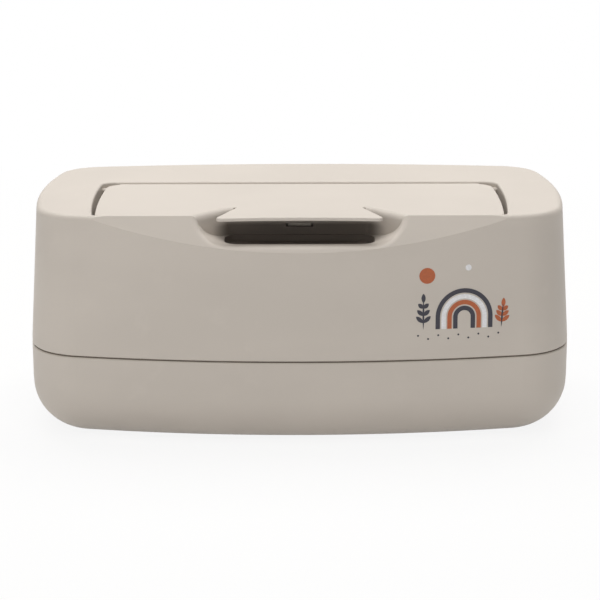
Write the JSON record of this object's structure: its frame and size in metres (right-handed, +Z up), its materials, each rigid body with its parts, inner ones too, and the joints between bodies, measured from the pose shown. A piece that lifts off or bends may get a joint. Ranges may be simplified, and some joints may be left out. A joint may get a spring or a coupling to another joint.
{
  "type": "baby wipes box",
  "caption": "Rounded beige box for baby wipes with a lift-off cover, a flip lid with a pull tab over a finger pocket, and a weighted plate inside.",
  "frame": {"origin": "middle of the footprint, on the surface that the feet stand on", "axes": "+X to the right along the long side, +Y to the back, +Z up; the pull tab is at the front, -Y"},
  "size_m": [0.24, 0.1348, 0.0996],
  "materials": {
    "shell_plastic": "matte",
    "soft_seal": "matte",
    "plate_plastic": "matte",
    "steel": "satin",
    "foot_rubber": "matte"
  },
  "bodies": {
    "tray": {"base_tray": "shell_plastic", "base_seal": "soft_seal", "foot_front_left": "foot_rubber", "foot_front_right": "foot_rubber", "foot_back_left": "foot_rubber", "foot_back_right": "foot_rubber"},
    "cover": {"cover_shell": "shell_plastic", "hinge_pin_left": "shell_plastic", "hinge_pin_right": "shell_plastic"},
    "lid": {"lid": "shell_plastic", "lid_gasket": "soft_seal"},
    "plate": {"press_plate": "plate_plastic", "weight_left": "steel", "weight_right": "steel"}
  },
  "joints": [
    {"name": "cover_lift", "type": "slide", "parent": "tray", "child": "cover", "axis": [0, 0, 1], "range_m": [0, 0.09]},
    {"name": "lid_hinge", "type": "hinge", "parent": "cover", "child": "lid", "pos_m": [0, 0.0143, 0.0963], "axis": [-1, 0, 0], "range_deg": [0, 95]},
    {"name": "plate_slide", "type": "slide", "parent": "tray", "child": "plate", "axis": [0, 0, 1], "range_m": [0, 0.065]}
  ]
}
